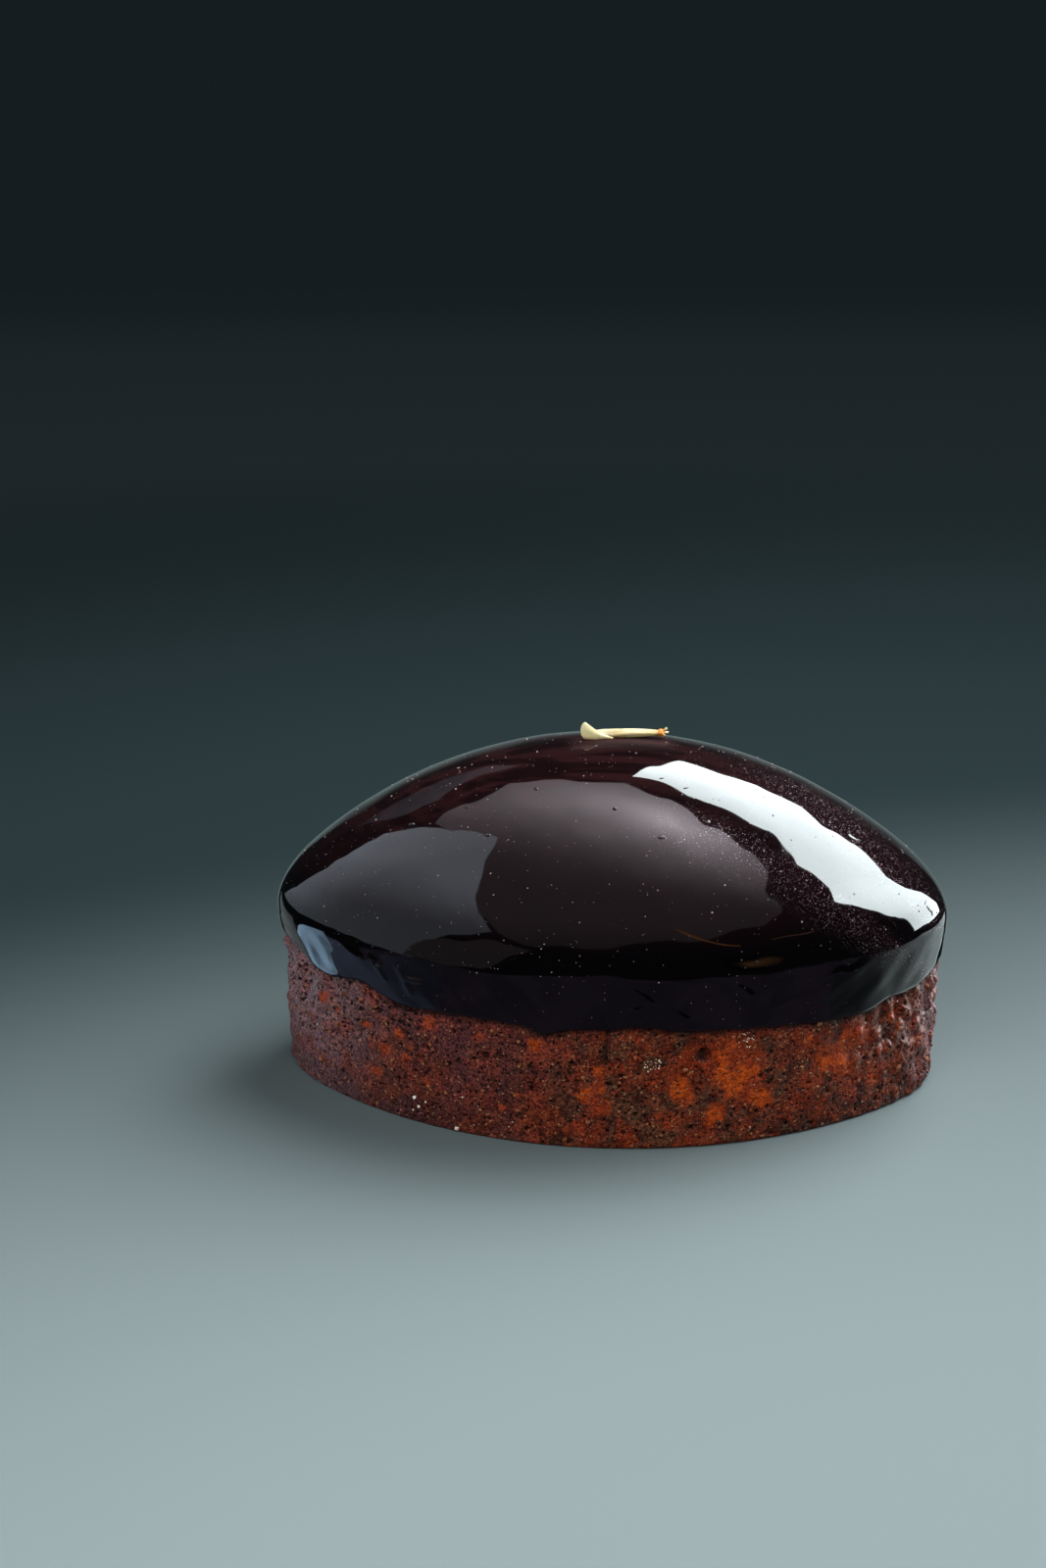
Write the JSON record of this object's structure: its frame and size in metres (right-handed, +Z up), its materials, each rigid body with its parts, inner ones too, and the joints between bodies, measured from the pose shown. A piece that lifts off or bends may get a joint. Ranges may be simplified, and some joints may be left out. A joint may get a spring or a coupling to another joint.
{
  "type": "chocolate tart",
  "caption": "Almond-shaped cocoa pastry tart with a tall mirror-glazed chocolate dome and a small dried blossom on top.",
  "frame": {"origin": "centre of the crust's flat base", "axes": "+Z up, +X along the tart's length, +Y towards its back"},
  "size_m": [0.112, 0.0644, 0.0605],
  "materials": {
    "crust": "baked cocoa shortcrust, matt with fine pores and crumbs",
    "glaze": "near-black chocolate mirror glaze, very glossy",
    "blossom": "pale yellow dried petal, slightly waxy"
  },
  "bodies": {
    "root": {"tart_crust": "crust", "glazed_dome": "glaze", "dried_blossom": "blossom"}
  },
  "joints": []
}
